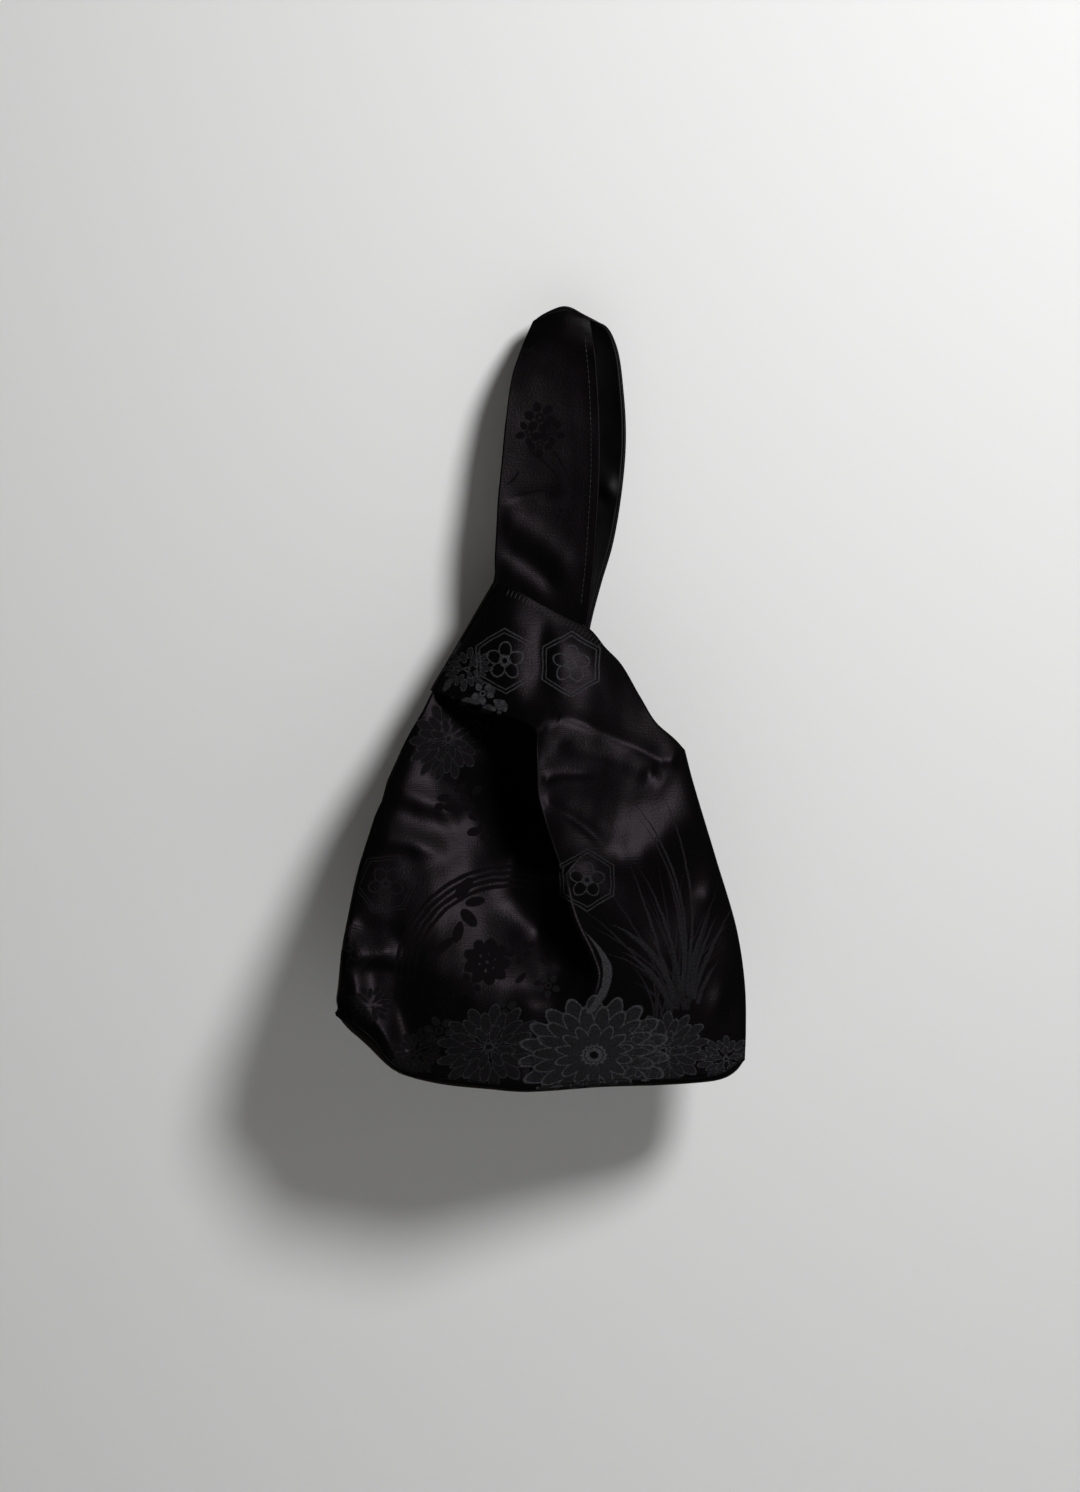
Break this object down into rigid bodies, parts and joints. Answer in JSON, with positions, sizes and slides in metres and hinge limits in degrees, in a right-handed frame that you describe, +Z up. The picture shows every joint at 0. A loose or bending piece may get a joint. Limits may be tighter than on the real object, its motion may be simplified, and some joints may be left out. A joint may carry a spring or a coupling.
{
  "type": "knot bag",
  "caption": "Hanging knot bag of dark figured satin: a soft pouch with a flat oval foot, a long wrist handle threaded through a short wrapped one, and a plain lining.",
  "frame": {"origin": "under the top of the long handle, where a hook bears", "axes": "+Z up, -Y out of the front of the bag, +X to the right seen from the front"},
  "size_m": [0.2208, 0.1063, 0.414],
  "materials": {
    "satin": "black damask satin with a plum sheen",
    "lining": "plain black lining cloth"
  },
  "bodies": {
    "root": {"outer_front_panel": "satin", "lining_front_panel": "lining", "outer_back_panel": "satin", "lining_back_panel": "lining", "outer_base_panel": "satin", "lining_base_panel": "lining"}
  },
  "joints": []
}
